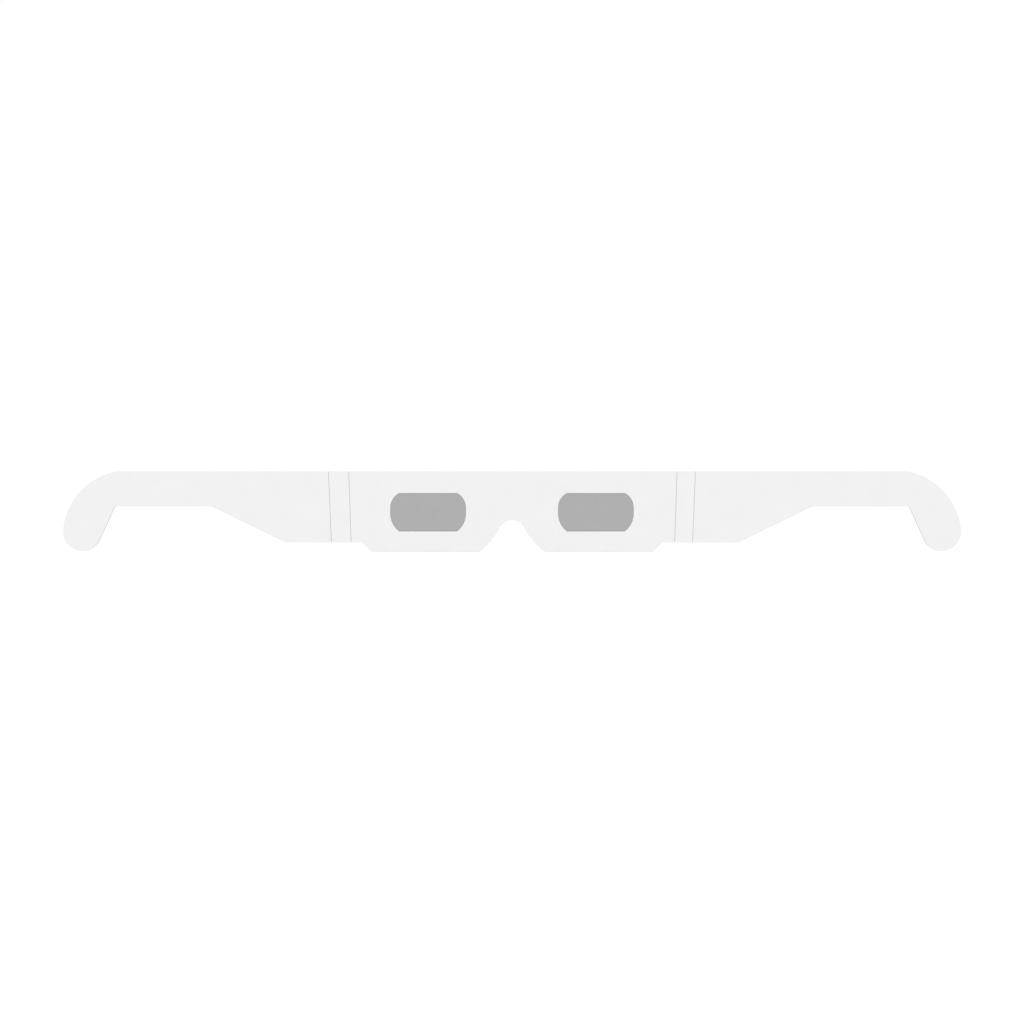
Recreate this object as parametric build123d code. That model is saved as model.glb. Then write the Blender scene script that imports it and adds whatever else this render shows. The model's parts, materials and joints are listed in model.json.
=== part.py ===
from build123d import *
import os
from math import acos, atan2, cos, degrees, hypot, radians, sin, sqrt, tan

# Eclipse glasses: one die-cut sheet of card, opened out flat, with its front folded double round two lenses.
# Millimetres. X runs along the sheet to the wearer's left, Z is up, and the outer face looks towards -Y.
# The origin is the top of the nose notch, on the inner face of the outer ply. The four fold axes lie in that
# same plane, y = 0.

# Card and film stock
card_thickness = 0.45
lens_film_thickness = 0.04
backing_film_thickness = 0.06

# Across the front, from the middle outwards
window_gap = 39.6
window_width = 32.5
window_side_border = 12.4
fold_setback = 4.8
right_strip_width = 8.55

# The left strip is narrower, so that one stowed temple lies across the other with this much air between
stow_clearance = 0.35

# Down the front, from the top edge, and how far the chin hangs below the strips
window_drop = 9.3
window_height = 16.5
window_chin_border = 8.9
nose_bridge_height = 20.9
chin_drop = 4.2
chin_chamfer_run = 4.2

# Lens windows: corner arcs as shares of the window's height, and how much of them the flat edges cut off
window_top_radius_share = 0.43
window_bottom_radius_share = 0.57
window_top_trim = 0.8
window_bottom_trim = 1.8

# Nose notch: a round crown between two flaring arcs that end this far inside the windows' sides
notch_crown_radius = 5.85
notch_flare_radius = 33.0
notch_side_land = 5.6

# Scored lines, whose tops lean outwards. Distances between them are at the height of the origin
inner_crease_slant = 2.0
outer_crease_slant = 2.4
crease_width = 1.3
groove_width = 0.7
groove_depth = 0.13
bead_height = 0.18

# Temple, from its scored line outwards: a deep root, a taper, a straight arm and the ear hook
temple_length = 115.05
arm_width = 14.95
arm_root_length = 19.55
arm_taper_run = 31.8
arm_taper_radius = 5.0
hook_width = 22.35
hook_outer_radius = 28.0
hook_crest_trim = 0.4
hook_tip_radius = 8.3
hook_inner_slant = 24.3
hook_corner_radius = 1.0

# Back flap and what it traps
flap_top_gap = 1.0
flap_side_inset = 0.4
flap_corner_radius = 2.5
flap_window_margin = 0.8
flap_notch_clearance = 0.5
film_overlap = 4.0
film_corner_radius = 2.0
film_pocket_clearance = 0.5
glue_margin = 1.5

# How far a cutting tool runs past what it cuts
cut_overrun = 1.0

# Heights worked out from the sizes above
top_edge = nose_bridge_height
chin_edge = top_edge - window_drop - window_height - window_chin_border
root_edge = chin_edge + chin_drop
arm_edge = top_edge - arm_width
window_height_middle = top_edge - window_drop - window_height / 2

# Distances from the middle of the glasses
window_middle = (window_gap + window_width) / 2
front_shoulder = window_gap / 2 + window_width + window_side_border
chin_half_span = front_shoulder - chin_chamfer_run
notch_mouth = window_gap / 2 - notch_side_land
left_strip_width = right_strip_width - card_thickness - stow_clearance
right_inner_crease = front_shoulder + fold_setback
outer_crease = right_inner_crease + right_strip_width
left_inner_crease = outer_crease - left_strip_width

# Layers, from the outer face backwards
outer_face = -card_thickness
lens_back = lens_film_thickness
flap_front = lens_back + backing_film_thickness
flap_back = flap_front + card_thickness
fold_inner_radius = flap_front / 2
fold_outer_radius = fold_inner_radius + card_thickness
fold_line = chin_edge + fold_outer_radius


def plate(outline, back, front):
    """An outline drawn in the XZ plane, as a sheet from y = back forwards to y = front."""
    return extrude(Plane.XZ.offset(-back) * outline, amount=back - front)


def crease_x(half_span, slant, height):
    """Distance of a scored line from the middle of the glasses at a height above the origin."""
    return half_span + height * tan(radians(slant))


def polygon(*points):
    """A face inside straight edges through the points."""
    return make_face(Polyline(*points, close=True))


def mirrored(shape):
    """The same shape on the other side of the middle."""
    return mirror(shape, about=Plane.YZ)


# Openings in the front

def window(margin):
    """The wearer's left lens window, grown by a margin: a rounded rectangle, cut flat above and below."""
    width = window_width + 2 * margin
    height = window_height + 2 * margin
    blank = Rectangle(width, height + window_top_trim + window_bottom_trim)
    top_radius = window_height * window_top_radius_share + margin
    bottom_radius = window_height * window_bottom_radius_share + margin
    blank = fillet(blank.vertices().group_by(Axis.Y)[-1], top_radius)
    blank = fillet(blank.vertices().group_by(Axis.Y)[0], bottom_radius)
    blank = Pos(0, (window_top_trim - window_bottom_trim) / 2) * blank
    return Pos(window_middle, window_height_middle) * (blank & Rectangle(width, height))


def notch(clearance):
    """The nose notch down past the chin, grown by a clearance: a crown arc between two flaring arcs.

    Each flaring arc touches the crown and passes through the notch's mouth at the chin, so its centre is
    the third corner of a triangle whose sides are both radii together, the flare radius and the mouth's
    distance from the crown's centre.
    """
    crown_z = -notch_crown_radius
    mouth_distance = hypot(notch_mouth, chin_edge - crown_z)
    mouth_angle = atan2(chin_edge - crown_z, notch_mouth)
    radii = notch_crown_radius + notch_flare_radius
    cosine = (mouth_distance ** 2 + radii ** 2 - notch_flare_radius ** 2) / (2 * mouth_distance * radii)
    touch = mouth_angle + acos(cosine)
    crown_turn = 180 - 2 * degrees(touch)
    flare_x = radii * cos(touch)
    flare_z = crown_z + radii * sin(touch)
    flare = notch_flare_radius - clearance
    foot_x = flare_x - sqrt(flare ** 2 - (chin_edge - flare_z) ** 2)
    foot_turn = degrees(atan2(flare_z - chin_edge, flare_x - foot_x) - touch)
    crown_arc = CenterArc((0, crown_z), notch_crown_radius + clearance, degrees(touch), crown_turn)
    left_flare = CenterArc((flare_x, flare_z), flare, 180 + degrees(touch), foot_turn)
    bottom = chin_edge - cut_overrun
    base = Polyline((foot_x, chin_edge), (foot_x, bottom), (-foot_x, bottom), (-foot_x, chin_edge))
    return make_face(crown_arc + left_flare + base + mirrored(left_flare))


# The front: outer ply, chin fold, back flap, glue and lenses

def front_silhouette():
    """The front between its two inner scored lines, down to the chin, with the nose notch but no windows."""
    left = left_inner_crease - crease_width / 2
    right = right_inner_crease - crease_width / 2
    outline = polygon(
        (crease_x(left, inner_crease_slant, top_edge), top_edge),
        (crease_x(left, inner_crease_slant, root_edge), root_edge),
        (front_shoulder, root_edge),
        (chin_half_span, chin_edge),
        (-chin_half_span, chin_edge),
        (-front_shoulder, root_edge),
        (-crease_x(right, inner_crease_slant, root_edge), root_edge),
        (-crease_x(right, inner_crease_slant, top_edge), top_edge),
    )
    return outline - notch(0)


def below_fold_line():
    """A face that covers everything below the line where the card starts to turn round the chin."""
    depth = fold_outer_radius + cut_overrun
    return Pos(0, fold_line - depth / 2) * Rectangle(2 * front_shoulder, depth)


def front_panel():
    """Outer ply of the front, with both lens windows."""
    outline = front_silhouette() - below_fold_line() - window(0) - mirrored(window(0))
    return plate(outline, 0, outer_face)


def chin_fold():
    """The bend on the wearer's left that carries the card round the chin, from the outer ply to the flap."""
    middle = (fold_inner_radius, fold_line)
    outside = CenterArc(middle, fold_outer_radius, 180, 180)
    inside = CenterArc(middle, fold_inner_radius, 180, 180)
    front_end = Line((outer_face, fold_line), (0, fold_line))
    back_end = Line((flap_front, fold_line), (flap_back, fold_line))
    bend = extrude(Plane.YZ * make_face(outside + back_end + inside + front_end), amount=front_shoulder)
    return bend & plate(front_silhouette(), flap_back + cut_overrun, outer_face - cut_overrun)


def flap_outline(inset):
    """The back flap inside its free edges, drawn in by an inset, without openings."""
    side = front_shoulder - flap_side_inset - inset
    top = top_edge - flap_top_gap - inset
    bottom = fold_line + inset
    shoulder = root_edge - flap_side_inset - inset
    foot = side - (shoulder - bottom) * chin_chamfer_run / chin_drop
    outline = polygon(
        (side, top),
        (side, shoulder),
        (foot, bottom),
        (-foot, bottom),
        (-side, shoulder),
        (-side, top),
    )
    return fillet(outline.vertices().group_by(Axis.Y)[-1], flap_corner_radius)


def back_flap():
    """Second ply, glued behind the first, with slightly larger windows and notch, so that none shows."""
    outline = flap_outline(0) - notch(flap_notch_clearance)
    outline = outline - window(flap_window_margin) - mirrored(window(flap_window_margin))
    return plate(outline, flap_back, flap_front)


def film_outline(clearance):
    """The sheet of film behind the wearer's left window, grown by a clearance."""
    width = window_width + 2 * film_overlap
    height = window_height + 2 * film_overlap
    blank = Rectangle(width + 2 * clearance, height + 2 * clearance)
    blank = fillet(blank.vertices(), film_corner_radius + clearance)
    return Pos(window_middle, window_height_middle) * blank


def flap_adhesive():
    """The glue between the plies, kept back from every free edge, with a pocket round each lens."""
    pocket = film_outline(film_pocket_clearance)
    outline = flap_outline(glue_margin) - notch(flap_notch_clearance + glue_margin)
    return plate(outline - pocket - mirrored(pocket), flap_front, 0)


def lens_film():
    """Metallised outer film of the wearer's left lens."""
    return plate(film_outline(0), lens_back, 0)


def backing_film():
    """Black inner film of the wearer's left lens."""
    return plate(film_outline(0), flap_front, lens_back)


# The scored lines and what they divide, drawn on the wearer's left

def crease(half_span, slant):
    """A scored line: a shallow groove in the outer face and a raised bead on the inner face."""
    half = crease_width / 2
    groove = groove_width / 2
    section = make_face(
        Line((-half, outer_face), (-groove, outer_face))
        + ThreePointArc((-groove, outer_face), (0, outer_face + groove_depth), (groove, outer_face))
        + Line((groove, outer_face), (half, outer_face))
        + Line((half, outer_face), (half, 0))
        + ThreePointArc((half, 0), (0, bead_height), (-half, 0))
        + Line((-half, 0), (-half, outer_face))
    )
    foot = Plane(origin=(crease_x(half_span, slant, root_edge), 0, root_edge))
    rise = Vector(tan(radians(slant)), 0, 1)
    return extrude(foot * section, amount=(top_edge - root_edge) / cos(radians(slant)), dir=rise)


def side_strip(strip_width):
    """The narrow panel between the inner and outer scored lines."""
    inner = outer_crease - strip_width + crease_width / 2
    outer = outer_crease - crease_width / 2
    outline = polygon(
        (crease_x(inner, inner_crease_slant, top_edge), top_edge),
        (crease_x(outer, outer_crease_slant, top_edge), top_edge),
        (crease_x(outer, outer_crease_slant, root_edge), root_edge),
        (crease_x(inner, inner_crease_slant, root_edge), root_edge),
    )
    return plate(outline, 0, outer_face)


def temple():
    """The arm, from the outer scored line to the ear hook of two tangent arcs and a straight inner edge."""
    root = outer_crease + crease_width / 2
    taper_start = outer_crease + arm_root_length
    hook_mouth = outer_crease + temple_length - hook_width
    slant = radians(hook_inner_slant)

    # the tip touches the inner edge and ends the temple, which sets how far down the edge it lies
    run = (hook_width - hook_tip_radius - hook_tip_radius * cos(slant)) / sin(slant)
    inner_end = (hook_mouth + run * sin(slant), arm_edge - run * cos(slant))
    tip_x = hook_mouth + hook_width - hook_tip_radius
    tip_z = inner_end[1] + hook_tip_radius * sin(slant)

    # the outer arc would rise a little past the top edge, and touches the tip from outside
    hook_z = top_edge + hook_crest_trim - hook_outer_radius
    hook_x = tip_x - sqrt((hook_outer_radius - hook_tip_radius) ** 2 - (tip_z - hook_z) ** 2)
    crest_x = hook_x + sqrt(hook_outer_radius ** 2 - (top_edge - hook_z) ** 2)
    crest_angle = degrees(atan2(top_edge - hook_z, crest_x - hook_x))
    touch_angle = degrees(atan2(tip_z - hook_z, tip_x - hook_x))

    top = Line((crease_x(root, outer_crease_slant, top_edge), top_edge), (crest_x, top_edge))
    hook = CenterArc((hook_x, hook_z), hook_outer_radius, crest_angle, touch_angle - crest_angle)
    tip = CenterArc((tip_x, tip_z), hook_tip_radius, touch_angle, hook_inner_slant - 180 - touch_angle)
    under = FilletPolyline(
        inner_end,
        (hook_mouth, arm_edge),
        (taper_start + arm_taper_run, arm_edge),
        (taper_start, root_edge),
        (crease_x(root, outer_crease_slant, root_edge), root_edge),
        radius=(hook_corner_radius, arm_taper_radius, arm_taper_radius),
    )
    end = Line(under @ 1, top @ 0)
    return plate(make_face(top + hook + tip + under + end), 0, outer_face)


def one_side(half_span, strip_width):
    """The pieces that the glasses have on each side, drawn on the wearer's left."""
    return {
        "chin_fold": chin_fold(),
        "lens_film": lens_film(),
        "backing_film": backing_film(),
        "inner_crease": crease(half_span, inner_crease_slant),
        "side_strip": side_strip(strip_width),
        "outer_crease": crease(outer_crease, outer_crease_slant),
        "temple": temple(),
    }


nodes = {
    "front_panel": front_panel(),
    "back_flap": back_flap(),
    "flap_adhesive": flap_adhesive(),
}
for name, shape in one_side(left_inner_crease, left_strip_width).items():
    nodes[f"left_{name}"] = shape
for name, shape in one_side(right_inner_crease, right_strip_width).items():
    nodes[f"right_{name}"] = mirrored(shape)

os.makedirs("parts", exist_ok=True)
for name, shape in nodes.items():
    export_step(shape, f"parts/{name}.step")
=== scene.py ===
import json
from math import pi, radians

import bmesh
import bpy
import numpy as np
from mathutils.geometry import tessellate_polygon
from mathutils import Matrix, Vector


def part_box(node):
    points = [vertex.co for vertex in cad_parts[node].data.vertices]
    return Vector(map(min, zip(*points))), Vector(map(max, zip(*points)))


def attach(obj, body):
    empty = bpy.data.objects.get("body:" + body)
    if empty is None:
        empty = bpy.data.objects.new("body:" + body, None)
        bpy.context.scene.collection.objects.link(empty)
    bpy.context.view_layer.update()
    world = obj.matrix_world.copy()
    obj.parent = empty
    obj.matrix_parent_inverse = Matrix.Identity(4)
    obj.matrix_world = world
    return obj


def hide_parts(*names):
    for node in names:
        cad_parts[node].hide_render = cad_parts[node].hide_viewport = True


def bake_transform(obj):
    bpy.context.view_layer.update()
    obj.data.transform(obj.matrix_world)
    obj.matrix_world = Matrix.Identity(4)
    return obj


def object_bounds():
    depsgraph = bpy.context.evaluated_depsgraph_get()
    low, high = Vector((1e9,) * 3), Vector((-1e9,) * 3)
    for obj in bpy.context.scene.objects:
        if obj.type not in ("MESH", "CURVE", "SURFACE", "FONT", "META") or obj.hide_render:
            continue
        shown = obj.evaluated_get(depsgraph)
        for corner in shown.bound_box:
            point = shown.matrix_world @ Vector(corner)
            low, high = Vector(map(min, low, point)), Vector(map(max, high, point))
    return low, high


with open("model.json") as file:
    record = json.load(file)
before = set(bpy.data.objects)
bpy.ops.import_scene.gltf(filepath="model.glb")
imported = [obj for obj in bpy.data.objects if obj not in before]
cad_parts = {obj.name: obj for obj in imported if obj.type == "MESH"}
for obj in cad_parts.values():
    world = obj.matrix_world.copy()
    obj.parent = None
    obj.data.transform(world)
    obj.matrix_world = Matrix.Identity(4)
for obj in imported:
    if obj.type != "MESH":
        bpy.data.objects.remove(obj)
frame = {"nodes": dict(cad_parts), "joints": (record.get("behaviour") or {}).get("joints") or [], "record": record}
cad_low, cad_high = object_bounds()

# Paper eclipse glasses, opened out flat: the card, its scored lines and the two film lenses.
# Metres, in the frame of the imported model: X towards the wearer's left, Z up, the outer face towards -Y.
mm = 0.001

# Cut edges: a soft lip where the knife came in, a tighter one where it went out, and a flat border beside
# both. The raw edge fades out over each lip as a power of its turn.
outer_lip = 0.09 * mm
inner_lip = 0.05 * mm
lip_border = 0.3 * mm
lip_steps = 4
raw_power = 6

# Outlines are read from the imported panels' outer faces, which are those whose normal's Y is below this
outer_normal = -0.99

# Round stretches are found by their short sides. A side longer than this is straight, a turn sharper than
# this is a corner, and every short side is divided into this many parts.
straight_side = 3 * mm
corner_turn = radians(9)
side_parts = 4

# A side that rises by this share of the strips' height is a seam between panels, and two sides lie in
# line if the cross product of their directions is under the second value
seam_share = 0.9
in_line_cross = 0.2

# Meshes: points closer than this become one, and sharper edges than this are shaded as edges
weld = 0.001 * mm
sharp_turn = radians(30)

# Where the card lies, from its packed panels
strip_low, strip_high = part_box("left_side_strip")
strip_foot, strip_top = strip_low.z, strip_high.z
card_thickness = strip_high.y - strip_low.y
fold_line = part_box("front_panel")[0].z

# White card, and its raw edge, which is painted much darker than the board, partly as shade on the cut walls, each
# from dark to light, and how far the card's relief reaches
card_dark = (0.779, 0.779, 0.779, 1)
card_light = (0.861, 0.861, 0.861, 1)
raw_edge_and_shade_dark = (0.25, 0.245, 0.235, 1)
raw_edge_and_shade_light = (0.4, 0.392, 0.375, 1)
card_roughness = 0.5
card_gloss = 0.35
card_relief = 0.015 * mm

# Where the card bends: scored lines are grey, from pressed fibres and painted shade in the groove, and the chin's
# bend is painted lighter to offset its shade, with fine cracks
score_and_groove_shade_colour = (0.38, 0.38, 0.38, 1)
score_shade = 0.92
bend_painted_light = (0.905, 0.905, 0.905, 1)
crack_shade = 0.2

# Silver film, and a painted shadow of the window's rim along the lower edge of each window
silver_dark = (0.409, 0.409, 0.409, 1)
silver_light = (0.444, 0.444, 0.444, 1)
silver_roughness = 0.24
rim_shadow_colour = (0.1, 0.1, 0.1, 1)
rim_shadow_strength = 0.2
rim_shadow_height = 0.6 * mm
rim_shadow_fade = 0.3 * mm

# Black film and glue, and how far the relief of both films and the glue reaches
black_dark = (0.008, 0.008, 0.009, 1)
black_light = (0.017, 0.017, 0.019, 1)
black_roughness = 0.22
glue_dark = (0.62, 0.6, 0.52, 1)
glue_light = (0.86, 0.85, 0.8, 1)
glue_roughness = 0.35
film_relief = 0.004 * mm

# Scored lines: the width that bends, the groove, the middle of it that is painted grey for pressed fibres and
# groove shade, and the bead behind
score_width = 1.3 * mm
score_steps = 36
groove_width = 0.7 * mm
groove_depth = 0.13 * mm
scuff_and_shade_width = 0.4 * mm
bead_height = 0.18 * mm

# Chin fold: the steps of its half turn
fold_steps = 24

# Films: rings from the middle to the outline, and the distance between the points of the outermost one
film_rings = 28
film_spacing = 0.7 * mm

# Ripple of the films: a few waves, with lengths between these two, drawn from each lens's own seed
ripple_height = 0.02 * mm
ripple_lengths = (7 * mm, 19 * mm)
ripple_count = 6
lens_seed = {"left": 5, "right": 11}

# Photograph: what one pixel measures at the outer face, and the middle of the frame as (x, z)
pixel = 0.43 * mm
picture_side = 1024
picture_middle = (0, 3.44 * mm)
camera_lens = 38
camera_sensor = 36

# Light: an even white sky, and a large soft lamp with its turns about X, Y and Z
world_light = 1.01
sun_light = 0.45
sun_softness = radians(35)
sun_turn = (radians(26), radians(-14), 0)

# Floor: a light table, whose glow and what it reflects together come to white
floor_gap = 60 * mm
floor_reach = 5
floor_dark = (0.34, 0.34, 0.34, 1)
floor_light = (0.36, 0.36, 0.36, 1)
floor_roughness = 0.9
floor_gloss = 0.1
floor_glow = 0.615


class Wire:
    """A socket of a material's nodes. Sums on wires add the Math nodes that work them out."""

    def __init__(self, paint, socket):
        self.paint = paint
        self.socket = socket

    def maths(self, operation, *values, **settings):
        """The wire of a Math node that works on the values."""
        return self.paint.add("Math", {"operation": operation, **settings}, dict(enumerate(values)))

    def __add__(self, other):
        return self.maths("ADD", self, other)

    def __sub__(self, other):
        return self.maths("SUBTRACT", self, other)

    def __rsub__(self, other):
        return self.maths("SUBTRACT", other, self)

    def __mul__(self, other):
        return self.maths("MULTIPLY", self, other)

    def __abs__(self):
        return self.maths("ABSOLUTE", self)

    __radd__ = __add__
    __rmul__ = __mul__

    def clipped(self):
        """The value, held between 0 and 1."""
        return self.maths("ADD", self, 0, use_clamp=True)

    def swing(self, reach):
        """How far a noise is from its middle of 0.5, times a reach."""
        return (self - 0.5) * reach


class Paint:
    """A material and its nodes."""

    def __init__(self, name):
        self.material = bpy.data.materials.new(name)
        self.material.use_nodes = True
        self.material.node_tree.nodes.clear()

    def add(self, kind, settings, sockets, out=0):
        """A node with its settings and its sockets' values or wires. Gives the wire that leaves it."""
        node = self.material.node_tree.nodes.new("ShaderNode" + kind)
        for key, value in settings.items():
            setattr(node, key, value)
        for key, value in sockets.items():
            if isinstance(value, Wire):
                self.material.node_tree.links.new(value.socket, node.inputs[key])
            else:
                node.inputs[key].default_value = value
        return Wire(self, node.outputs[out]) if node.outputs else None

    def attribute(self, name, out):
        """What a piece's points hold under a name."""
        return self.add("Attribute", {"attribute_name": name}, {}, out)

    def stretched(self, place, turn, scale):
        """The place turned about the card's normal and then scaled, so that a pattern runs that way."""
        turned = self.add("VectorRotate", {"rotation_type": "Y_AXIS"}, {"Vector": place, "Angle": turn})
        return self.add("Mapping", {}, {"Vector": turned, "Scale": scale})

    def noise(self, place, scale, detail=2, roughness=0.5):
        """Noise from 0 to 1 with its middle at 0.5."""
        sockets = {"Vector": place, "Scale": scale, "Detail": detail, "Roughness": roughness}
        return self.add("TexNoise", {}, sockets, "Fac")

    def threads(self, place, scale, thinness):
        """Thin curved lines along a noise's middle: 1 less thinness times the distance from it."""
        return (1 - abs(self.noise(place, scale) - 0.5) * thinness).clipped()

    def mix(self, share, first, second):
        """The first colour at share 0 and the second at share 1. The node's sockets go by number."""
        return self.add("Mix", {"data_type": "RGBA"}, {0: share, 6: first, 7: second}, 2)

    def millimetres(self):
        """The place on a piece that keeps its form."""
        place = self.add("TexCoord", {}, {}, "Object")
        return self.add("VectorMath", {"operation": "SCALE"}, {"Vector": place, "Scale": 1 / mm})

    def bump(self, height, distance):
        """The normal of a relief whose height 0 to 1 stands for a distance in metres."""
        return self.add("Bump", {}, {"Height": height, "Distance": distance}, "Normal")

    def finish(self, **sockets):
        """The shader, with each socket named by its words joined with underscores."""
        named = {key.replace("_", " "): value for key, value in sockets.items()}
        shader = self.add("BsdfPrincipled", {}, named)
        self.add("OutputMaterial", {}, {"Surface": shader})
        return self.material


# Materials, with places in millimetres, so that a noise scale is a number of features per millimetre

def white_card():
    """Bleached board: cloudy, with grain and fibres, coated outside, and a raw edge of pressed plies, painted dark
    partly as shade on the cut walls.

    A piece's points hold how far they are raw cut edge, score line, the inner face or the chin's bend. The edge
    and the score line carry painted shade, and the bend painted light.
    """
    paint = Paint("white_card")
    place = paint.attribute("card_place", "Vector")
    cut = paint.attribute("cut_edge", "Fac")
    scored = paint.attribute("scored", "Fac")
    inside = paint.attribute("inside", "Fac")
    folded = paint.attribute("folded", "Fac")

    cloud = paint.noise(place, scale=0.11, detail=3)
    grain = paint.noise(place, scale=2.6, detail=4, roughness=0.6)
    along = paint.stretched(place, turn=radians(12), scale=(0.35, 1, 2.4))
    across = paint.stretched(place, turn=radians(-38), scale=(0.5, 1, 2.1))
    long_fibres = paint.threads(along, scale=1.0, thinness=60)
    cross_fibres = paint.threads(across, scale=1.3, thinness=70)
    fibres = (long_fibres + cross_fibres).clipped()

    # The fibres show more on the inner face, which has no coating
    shade = 0.5 + cloud.swing(0.5) + grain.swing(0.35) - fibres * (0.05 + inside * 0.12)
    # The chin's bend is painted lighter, offsetting the shade of its downward turn
    face = paint.mix(folded, paint.mix(shade.clipped(), card_dark, card_light), bend_painted_light)

    # Plies lie across the thickness, and cracks run along the bend
    layers = paint.stretched(place, turn=0, scale=(0.8, 22, 0.8))
    plies = paint.noise(layers, scale=1.0, detail=3)
    bend = paint.stretched(place, turn=0, scale=(0.35, 5, 5))
    cracks = paint.threads(bend, scale=1.0, thinness=14) * folded
    # Painted groove shade, with the grey of pressed fibres, along the scored line, and the cracks darken the bend
    scuffed_and_shaded = paint.mix(scored * score_shade + cracks * crack_shade, face, score_and_groove_shade_colour)
    # The raw edge's plies, painted dark partly as shade on the cut walls
    colour = paint.mix(cut, scuffed_and_shaded, paint.mix(plies, raw_edge_and_shade_dark, raw_edge_and_shade_light))

    roughness = card_roughness + inside * 0.14 + cut * 0.2 + scored * 0.05 + grain.swing(0.12)
    relief = grain * 0.4 + fibres * (0.2 + inside * 0.3) + plies * cut - cracks
    normal = paint.bump(relief, card_relief)
    finish = {"Base_Color": colour, "Roughness": roughness, "Normal": normal}
    return paint.finish(Specular_IOR_Level=card_gloss, **finish)


def silver_film(window_foot):
    """Metallised polyester: satin silver with fine streaks, faint rub marks, and a painted shadow of the window's
    rim along its lower edge.
    """
    paint = Paint("silver_film")
    place = paint.millimetres()
    web = paint.stretched(place, turn=0, scale=(3.2, 1, 0.09))
    wiped = paint.stretched(place, turn=radians(64), scale=(0.12, 1, 1.6))
    streaks = paint.noise(web, scale=1.0, detail=4, roughness=0.6)
    bloom = paint.noise(place, scale=0.16)
    rubs = paint.threads(wiped, scale=0.7, thinness=160)
    shade = 0.5 + streaks.swing(0.5) + bloom.swing(0.5) + rubs * 0.2

    # Painted shadow: darker over a band just above the window's lower edge, fading out upwards
    height = paint.add("SeparateXYZ", {}, {"Vector": place}, "Z")
    rim_shadow_top = (window_foot + rim_shadow_height) / mm
    rim_shadow_mask = ((rim_shadow_top - height) * (mm / rim_shadow_fade)).clipped()
    colour = paint.mix(shade.clipped(), silver_dark, silver_light)
    colour = paint.mix(rim_shadow_mask * rim_shadow_strength, colour, rim_shadow_colour)
    roughness = silver_roughness + bloom.swing(0.1) + streaks.swing(0.08) + rubs * 0.08
    normal = paint.bump(streaks * 0.5 + rubs * 0.5, film_relief)
    return paint.finish(Base_Color=colour, Roughness=roughness, Metallic=1.0, Normal=normal)


def black_film():
    """Black polymer: smooth and glossy, with a faint orange peel."""
    paint = Paint("black_film")
    place = paint.millimetres()
    peel = paint.noise(place, scale=0.9, detail=3)
    bloom = paint.noise(place, scale=0.12)
    colour = paint.mix(bloom, black_dark, black_light)
    roughness = black_roughness + peel.swing(0.16) + bloom.swing(0.1)
    return paint.finish(Base_Color=colour, Roughness=roughness, Normal=paint.bump(peel, film_relief))


def glue():
    """Dried white glue: slightly yellow, thin in places."""
    paint = Paint("glue")
    body = paint.noise(paint.millimetres(), scale=0.6, detail=4)
    colour = paint.mix(body, glue_dark, glue_light)
    roughness = glue_roughness + body.swing(0.2)
    return paint.finish(Base_Color=colour, Roughness=roughness, Normal=paint.bump(body, film_relief))


def pale_floor():
    """Opal sheet of a light table, cloudy and lit from below."""
    paint = Paint("pale_floor")
    tone = paint.noise(paint.millimetres(), scale=0.02)
    finish = {
        "Base_Color": paint.mix(tone, floor_dark, floor_light),
        "Roughness": floor_roughness,
        "Specular_IOR_Level": floor_gloss,
        "Emission_Color": (1, 1, 1, 1),
        "Emission_Strength": floor_glow,
    }
    return paint.finish(**finish)


# Meshes

def signed_volume(points, faces):
    """The volume inside faces, a sixth of their triangles' box products, negative if they look in."""
    first = points[faces[:, 0]]
    pairs = zip(faces.T[1:-1], faces.T[2:])
    return sum(np.einsum("ij,ij", first, np.cross(points[a], points[b])) for a, b in pairs) / 6


def as_piece(name, points, faces, material, marks=None):
    """A closed piece at the origin, its faces outwards. A mark is a number per point for the material."""
    if sum(signed_volume(points, part) for part in faces) < 0:
        faces = [part[:, ::-1] for part in faces]
    mesh = bpy.data.meshes.new(name)
    mesh.from_pydata(points.tolist(), [], [face for part in faces for face in part.tolist()])
    place = mesh.attributes.new("card_place", "FLOAT_VECTOR", "POINT")
    place.data.foreach_set("vector", (points / mm).astype(np.float32).ravel())
    for mark, values in (marks or {}).items():
        numbers = mesh.attributes.new(mark, "FLOAT", "POINT").data
        numbers.foreach_set("value", values.astype(np.float32).ravel())
    body = bmesh.new()
    body.from_mesh(mesh)
    bmesh.ops.remove_doubles(body, verts=body.verts, dist=weld)
    bmesh.ops.dissolve_degenerate(body, edges=body.edges, dist=weld)
    body.to_mesh(mesh)
    body.free()
    mesh.shade_smooth()
    mesh.set_sharp_from_angle(angle=sharp_turn)
    mesh.materials.append(material)
    piece = bpy.data.objects.new(name, mesh)
    bpy.context.scene.collection.objects.link(piece)
    return piece


def grid_faces(index, closed_down=False, closed_across=False):
    """The four-sided faces of a grid of point numbers, which joins up in each closed direction."""
    if closed_down:
        index = np.vstack((index, index[:1]))
    if closed_across:
        index = np.hstack((index, index[:, :1]))
    corners = (index[:-1, :-1], index[:-1, 1:], index[1:, 1:], index[1:, :-1])
    return np.stack(corners, axis=-1).reshape(-1, 4)


def tube_faces(index):
    """The faces of a closed tube, whose rows of point numbers are its rings, and of its two ends.

    An end is a row of faces between the first half of its ring and the second half, taken backwards.
    """
    half = index.shape[1] // 2
    rings = (index[0], index[-1, ::-1])
    ends = [grid_faces(np.stack((ring[:half], ring[:half - 1:-1]), 1)) for ring in rings]
    return [grid_faces(index, closed_across=True), *ends]


def facing(points, triangles, way):
    """Flat triangles, all turned to look along +Y for way 1 and along -Y for way -1."""
    a, b, c = (points[triangles[:, i]] for i in range(3))
    wrong = np.cross(b - a, c - a)[:, 1] * way < 0
    return np.where(wrong[:, None], triangles[:, ::-1], triangles)


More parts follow.
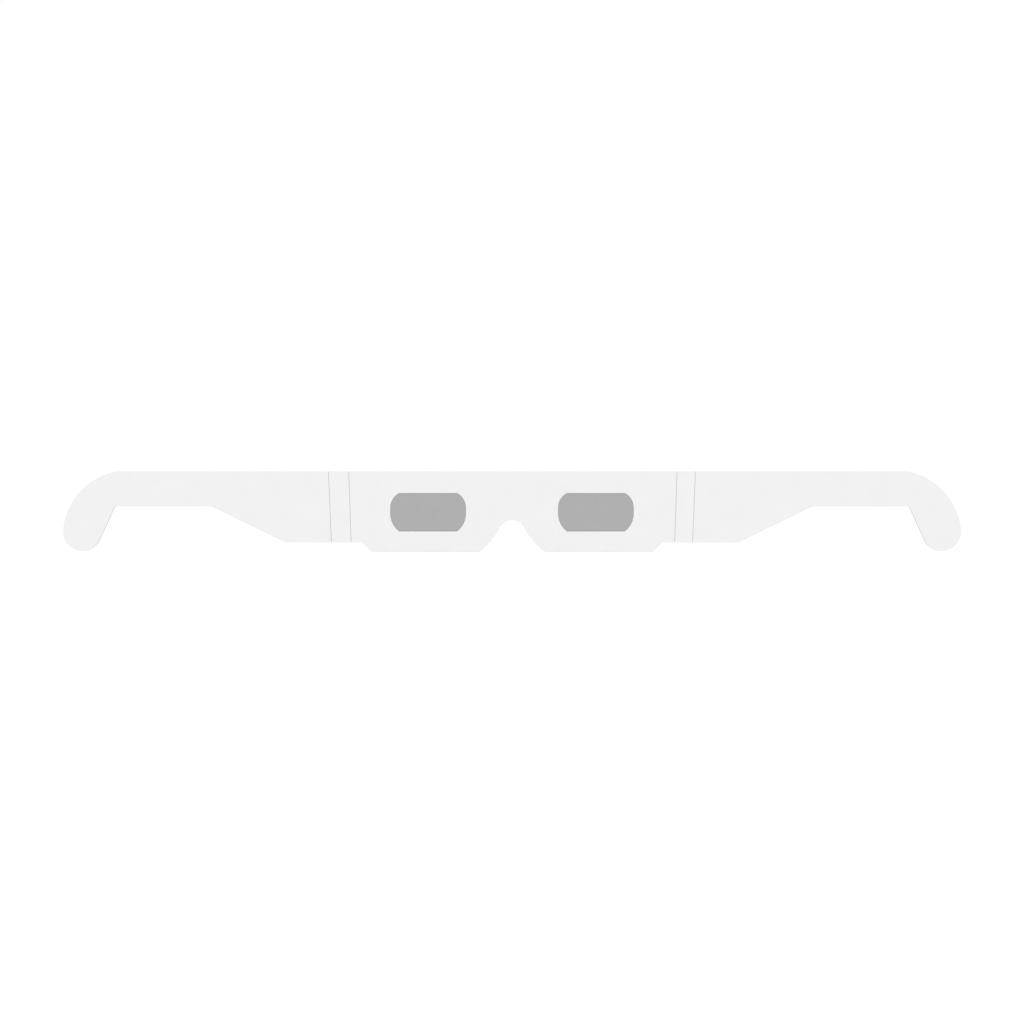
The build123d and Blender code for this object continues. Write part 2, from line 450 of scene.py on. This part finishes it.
def outlines(node):
    """The closed outlines of a CAD panel's outer face, as (x, z), with the card on their left."""
    body = bmesh.new()
    body.from_mesh(frame["nodes"][node].data)
    bmesh.ops.remove_doubles(body, verts=body.verts, dist=weld)
    body.normal_update()
    onward = {}
    for face in body.faces:
        if face.normal.y < outer_normal:
            for corner in face.loops:
                if corner.link_loop_radial_next.face.normal.y > outer_normal:
                    onward[corner.vert.index] = corner.link_loop_next.vert.index
    places = np.array([(point.co.x, point.co.z) for point in body.verts])
    body.free()
    loops = []
    while onward:
        start, step = onward.popitem()
        loop = [start]
        while step != start:
            loop.append(step)
            step = onward.pop(step)
        loops.append(places[loop])
    return loops


def signed_area(loop):
    """The area inside an outline, negative for a hole."""
    onward = np.roll(loop, -1, 0)
    return np.sum(loop[:, 0] * onward[:, 1] - loop[:, 1] * onward[:, 0]) / 2


def window_outline(side):
    """The outline of a lens window in the outer ply."""
    way = 1 if side == "left" else -1
    windows = [loop for loop in outlines("front_panel") if signed_area(loop) < 0]
    return next(loop for loop in windows if loop[:, 0].mean() * way > 0)


def rounded(loop, seam):
    """An outline with its round stretches divided again, and which of its new sides lie on a seam.

    Each short side becomes a cubic Hermite curve. Its tangent at a point is the mean of the two sides
    there, or the straight side's own direction where one is straight, or its own at a corner.
    """
    side = np.roll(loop, -1, 0) - loop
    length = np.hypot(*side.T)[:, None]
    ahead = side / length
    behind = np.roll(ahead, 1, 0)
    straight = length > straight_side
    tangent = np.where(straight, ahead, np.where(np.roll(straight, 1, 0), behind, ahead + behind))
    tangent /= np.hypot(*tangent.T)[:, None]
    corner = (np.sum(ahead * behind, 1) < np.cos(corner_turn))[:, None]
    leave = np.where(corner, ahead, tangent) * length
    arrive = np.roll(np.where(corner, behind, tangent), -1, 0) * length
    share = np.linspace(0, 1, side_parts, endpoint=False)[None, :, None]
    curve = (
        loop[:, None] * (1 + 2 * share) * (1 - share) ** 2
        + leave[:, None] * share * (1 - share) ** 2
        + np.roll(loop, -1, 0)[:, None] * share ** 2 * (3 - 2 * share)
        + arrive[:, None] * share ** 2 * (share - 1)
    )
    kept = np.ones(curve.shape[:2], bool)
    kept[straight[:, 0], 1:] = False
    return curve[kept], np.repeat(seam[:, None], side_parts, 1)[kept]


def inward(loop, seam):
    """How far each point of an outline moves as every cut side moves in by one and the seams stay.

    The two sides at a point meet where the move along each side's normal is 1, or 0 for a seam. Where
    they are nearly in line that has no steady answer, and the mean normal is taken.
    """
    side = np.roll(loop, -1, 0) - loop
    normal = np.stack((-side[:, 1], side[:, 0]), 1) / np.hypot(*side.T)[:, None]
    before = np.roll(normal, 1, 0)
    pull = (~seam).astype(float)
    pull_before = np.roll(pull, 1)
    cross = before[:, 0] * normal[:, 1] - before[:, 1] * normal[:, 0]
    in_line = np.abs(cross) < in_line_cross
    safe = np.where(in_line, 1, cross)
    meet_x = (pull_before * normal[:, 1] - pull * before[:, 1]) / safe
    meet_z = (pull * before[:, 0] - pull_before * normal[:, 0]) / safe
    mean = (normal + before) / (1 + np.sum(normal * before, 1))[:, None]
    mean *= np.minimum(pull, pull_before)[:, None]
    return np.where(in_line[:, None], mean, np.stack((meet_x, meet_z), 1))


def even(loop, spacing):
    """An outline stepped off again at nearly equal lengths."""
    closed = np.vstack((loop, loop[:1]))
    reach = np.concatenate(([0], np.cumsum(np.hypot(*np.diff(closed, axis=0).T))))
    steps = np.linspace(0, reach[-1], int(reach[-1] / spacing), endpoint=False)
    return np.stack([np.interp(steps, reach, closed[:, i]) for i in range(2)], 1)


def edge_profile():
    """Across a cut edge, from the outer face over both lips to the inner face, as four arrays.

    How far in from the cut each point lies, its share of the card's thickness, what is added to that, and
    how much of it is raw edge. Each lip is a quarter circle, lip x (1 - sin) in and lip x (1 - cos) deep,
    and the inner one is taken backwards.
    """
    turn = np.linspace(0, pi / 2, lip_steps + 1)
    sine = np.sin(turn)
    cosine = np.cos(turn)
    into = np.concatenate(([lip_border], outer_lip * (1 - sine), inner_lip * (1 - cosine), [lip_border]))
    share = np.repeat((0.0, 1.0), lip_steps + 2)
    added = np.concatenate(([0], outer_lip * (1 - cosine), inner_lip * (sine - 1), [0]))
    raw = np.concatenate(([0], sine ** raw_power, cosine ** raw_power, [0]))
    return into, share, added, raw


def panel(node, material):
    """A flat panel of card: the edge profile round each outline of its node, and both faces filled in."""
    low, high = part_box(node)
    into, share, added, raw = edge_profile()
    points, faces, rings, start = [], [], [], 0
    for loop in outlines(node):
        side = np.roll(loop, -1, 0) - loop
        seam = np.abs(side[:, 1]) > seam_share * (strip_top - strip_foot)
        seam |= (loop[:, 1] < fold_line + weld) & (np.roll(loop, -1, 0)[:, 1] < fold_line + weld)
        loop, seam = rounded(loop, seam)
        place = loop[:, None] + inward(loop, seam)[:, None] * into[:, None]
        depth = np.broadcast_to(low.y + share * (high.y - low.y) + added, place.shape[:2])
        points.append(np.stack((place[..., 0], depth, place[..., 1]), -1).reshape(-1, 3))
        index = start + np.arange(place.shape[0] * place.shape[1]).reshape(place.shape[:2])
        faces.append(grid_faces(index, closed_down=True))
        rings.append(index)
        start += index.size
    points = np.concatenate(points)
    borders = [[(x, z, 0) for x, y, z in points[ring[:, 0]] / mm] for ring in rings]
    fill = np.array(tessellate_polygon(borders))
    outer, inner = (np.concatenate([ring[:, end] for ring in rings])[fill] for end in (0, -1))
    faces += [facing(points, outer, -1), facing(points, inner, 1)]
    count = len(points) // len(into)
    marks = {"cut_edge": np.tile(raw, count), "inside": np.tile(share, count)}
    return as_piece(f"{node}_card", points, faces, material, marks)


def hump(place, width):
    """One at the middle, nothing past half the width, and (1 + cos) / 2 between."""
    return (1 + np.cos(2 * pi * np.clip(place / width, -0.5, 0.5))) / 2


def scored_line(joint, material):
    """The card across a scored line: a grid round its section, for each step across the line.

    Across the line, the outer face sinks into a groove and the inner face rises in a bead, both of the
    form (1 + cos) / 2. Along the line the section is the same, and its two ends are cut edges.
    """
    node = joint["deforming_nodes"][0]["node"]
    axis = np.array(joint["axis"])
    across = np.cross((0, 1, 0), axis)
    pivot = np.array(joint["pos_m"])
    into, share, added, raw = edge_profile()
    step = np.linspace(-1, 1, score_steps + 1)[:, None]
    width = step * score_width / 2
    groove = groove_depth * hump(width, groove_width)
    bead = bead_height * hump(width, score_width)
    front = -card_thickness + groove
    depth = front + share * (bead - front) + added
    depth = np.hstack((depth, depth[:, ::-1]))
    height = np.concatenate((strip_top - into, strip_foot + into[::-1]))[None]
    along = pivot[0] + (height - pivot[2]) * axis[0] / axis[2]
    points = np.stack(np.broadcast_arrays(along + np.sign(across[0]) * width, depth, height), -1)
    index = np.arange(points[..., 0].size).reshape(points.shape[:2])
    points = points.reshape(-1, 3)
    # The scored mark places the painted groove shade in the middle of the line
    marks = {
        "cut_edge": np.tile(np.concatenate((raw, raw[::-1])), score_steps + 1),
        "inside": np.tile(np.concatenate((share, share[::-1])), score_steps + 1),
        "scored": np.repeat(hump(width, scuff_and_shade_width), index.shape[1]),
    }
    piece = as_piece(f"{node}_card", points, tube_faces(index), material, marks)
    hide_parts(node)
    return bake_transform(piece)


def chin_fold(node, material):
    """The bend round the chin: half a ring in section, carried along X between two leaning ends.

    The section runs round the outside from the outer ply to the flap, and back round the inside. It lies
    radius x cos in front of the middle and radius x sin below it. The ends lean with the outline, and
    both walls are drawn in there along a quarter circle, as on the other cut edges.
    """
    low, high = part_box(node)
    places = np.array([point.co for point in frame["nodes"][node].data.vertices])
    foot = places[places[:, 2] < low.z + weld, 0]
    outside = (high.y - low.y) / 2
    around = np.linspace(0, pi, fold_steps + 1)
    around = np.concatenate((around, around[::-1]))[None]
    inner = np.repeat((0.0, 1.0), fold_steps + 1)[None]

    turn = np.linspace(pi / 2, 0, lip_steps + 1)
    into = outer_lip * (1 - np.sin(turn))
    draw = 1 - np.cos(turn)
    from_low = np.concatenate((into, np.zeros(len(into))))[:, None]
    from_high = np.concatenate((np.zeros(len(into)), into[::-1]))[:, None]
    draw = np.concatenate((draw, draw[::-1]))[:, None]
    at_high = np.repeat((0.0, 1.0), lip_steps + 1)[:, None]

    radius = outside - outer_lip * draw - inner * (card_thickness - (outer_lip + inner_lip) * draw)
    drop = radius * np.sin(around)
    lean = drop / (high.z - low.z)
    low_end = low.x + (foot.min() - low.x) * lean + from_low
    high_end = high.x + (foot.max() - high.x) * lean - from_high
    length = low_end + (high_end - low_end) * at_high
    depth = (low.y + high.y) / 2 - radius * np.cos(around)
    points = np.stack(np.broadcast_arrays(length, depth, high.z - drop), -1)
    index = np.arange(points[..., 0].size).reshape(points.shape[:2])
    shape = points.shape[:2]
    marks = {
        "cut_edge": np.broadcast_to(draw ** 2, shape),
        "inside": np.broadcast_to(inner, shape),
        # The folded mark places the painted light on the bend, and its cracks
        "folded": np.broadcast_to((1 - inner) * np.sin(around), shape),
    }
    points = points.reshape(-1, 3)
    return as_piece(f"{node}_card", points, tube_faces(index), material, marks)


def ripple(place, side):
    """How far a lens's film stands behind flat: a few cosine waves, damped out at the window's edge.

    The damping is (1 - share squared) squared each way, for the share of the way from middle to edge.
    """
    window = window_outline(side)
    low, high = window.min(0), window.max(0)
    share = np.clip((2 * place - low - high) / (high - low), -1, 1)
    damping = np.prod((1 - share ** 2) ** 2, axis=-1)
    draw = np.random.default_rng(lens_seed[side])
    way = draw.uniform(0, pi, ripple_count)
    wave = 2 * pi / draw.uniform(*ripple_lengths, ripple_count)
    phase = draw.uniform(0, 2 * pi, ripple_count)
    run = place[..., :1] * np.cos(way) + place[..., 1:] * np.sin(way)
    return ripple_height * damping * np.cos(run * wave + phase).sum(-1)


def film(node, side, material, slot):
    """A sheet of film: rings from its middle out to its outline in front, and back in again behind."""
    low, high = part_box(node)
    loop = outlines(node)[0]
    loop = even(rounded(loop, np.zeros(len(loop), bool))[0], film_spacing)
    middle = np.array([(low.x + high.x) / 2, (low.z + high.z) / 2])
    share = np.linspace(0, 1, film_rings + 1)[1:]
    share = np.concatenate((share, share[::-1]))[:, None, None]
    back = np.repeat((0.0, 1.0), film_rings)[:, None]
    place = middle + share * (loop - middle)
    depth = low.y + back * (high.y - low.y) + ripple(place, side)
    points = np.stack((place[..., 0], depth, place[..., 1]), -1).reshape(-1, 3)
    poles = np.array([(middle[0], y + ripple(middle, side), middle[1]) for y in (low.y, high.y)])
    index = np.arange(len(points)).reshape(depth.shape)
    tips = [np.full(len(loop), len(points) + i) for i in range(2)]
    onward = np.roll(index, -1, 1)
    front_tip = np.stack((tips[0], onward[0], index[0]), 1)
    back_tip = np.stack((tips[1], index[-1], onward[-1]), 1)
    faces = [grid_faces(index, closed_across=True), front_tip, back_tip]
    return as_piece(f"{node}_sheet", np.vstack((points, poles)), faces, material)


# The object

bodies = frame["record"]["behaviour"]["bodies"]
body_of = {node: body for body, nodes in bodies.items() for node in nodes}


def fitted(make, node, *details):
    """The piece that a function makes for a CAD node stands for that node and rides on its body."""
    piece = make(node, *details)
    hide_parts(node)
    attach(piece, body_of[node])


card = white_card()
silver = silver_film(window_outline("left")[:, 1].min())
black = black_film()
for node in ("front_panel", "back_flap"):
    fitted(panel, node, card)
for side in ("left", "right"):
    for part in ("side_strip", "temple"):
        fitted(panel, f"{side}_{part}", card)
    fitted(chin_fold, f"{side}_chin_fold", card)
    fitted(film, f"{side}_lens_film", side, silver, "silver_film")
    fitted(film, f"{side}_backing_film", side, black, "black_film")
for joint in frame["joints"]:
    scored_line(joint, card)
frame["nodes"]["flap_adhesive"].data.materials[0] = glue()


# Floor, light and camera

def floor():
    """A level square below the chin, much wider than the view."""
    height = cad_low.z - floor_gap
    ways = ((-1, -1), (1, -1), (1, 1), (-1, 1))
    corners = [(x * floor_reach, y * floor_reach, height) for x, y in ways]
    mesh = bpy.data.meshes.new("floor")
    mesh.from_pydata(corners, [], [(0, 1, 2, 3)])
    mesh.materials.append(pale_floor())
    sheet = bpy.data.objects.new("floor", mesh)
    bpy.context.scene.collection.objects.link(sheet)


def light():
    """An even white studio with one large soft lamp above and in front."""
    world = bpy.data.worlds.new("studio")
    world.use_nodes = True
    sky = world.node_tree.nodes["Background"]
    sky.inputs["Color"].default_value = (1, 1, 1, 1)
    sky.inputs["Strength"].default_value = world_light
    bpy.context.scene.world = world
    lamp = bpy.data.lights.new("soft_lamp", "SUN")
    lamp.energy = sun_light
    lamp.angle = sun_softness
    lamp_holder = bpy.data.objects.new("soft_lamp", lamp)
    lamp_holder.rotation_euler = sun_turn
    bpy.context.scene.collection.objects.link(lamp_holder)
    bpy.context.scene.view_settings.view_transform = "Standard"


def camera():
    """Face-on at the photograph's scale, from as far as the lens needs."""
    made = bpy.data.cameras.new("camera")
    made.lens = camera_lens
    made.sensor_width = camera_sensor
    distance = picture_side * pixel * camera_lens / camera_sensor
    holder = bpy.data.objects.new("camera", made)
    holder.location = (picture_middle[0], cad_low.y - distance, picture_middle[1])
    holder.rotation_euler = (pi / 2, 0, 0)
    bpy.context.scene.collection.objects.link(holder)
    bpy.context.scene.camera = holder


floor()
light()
camera()
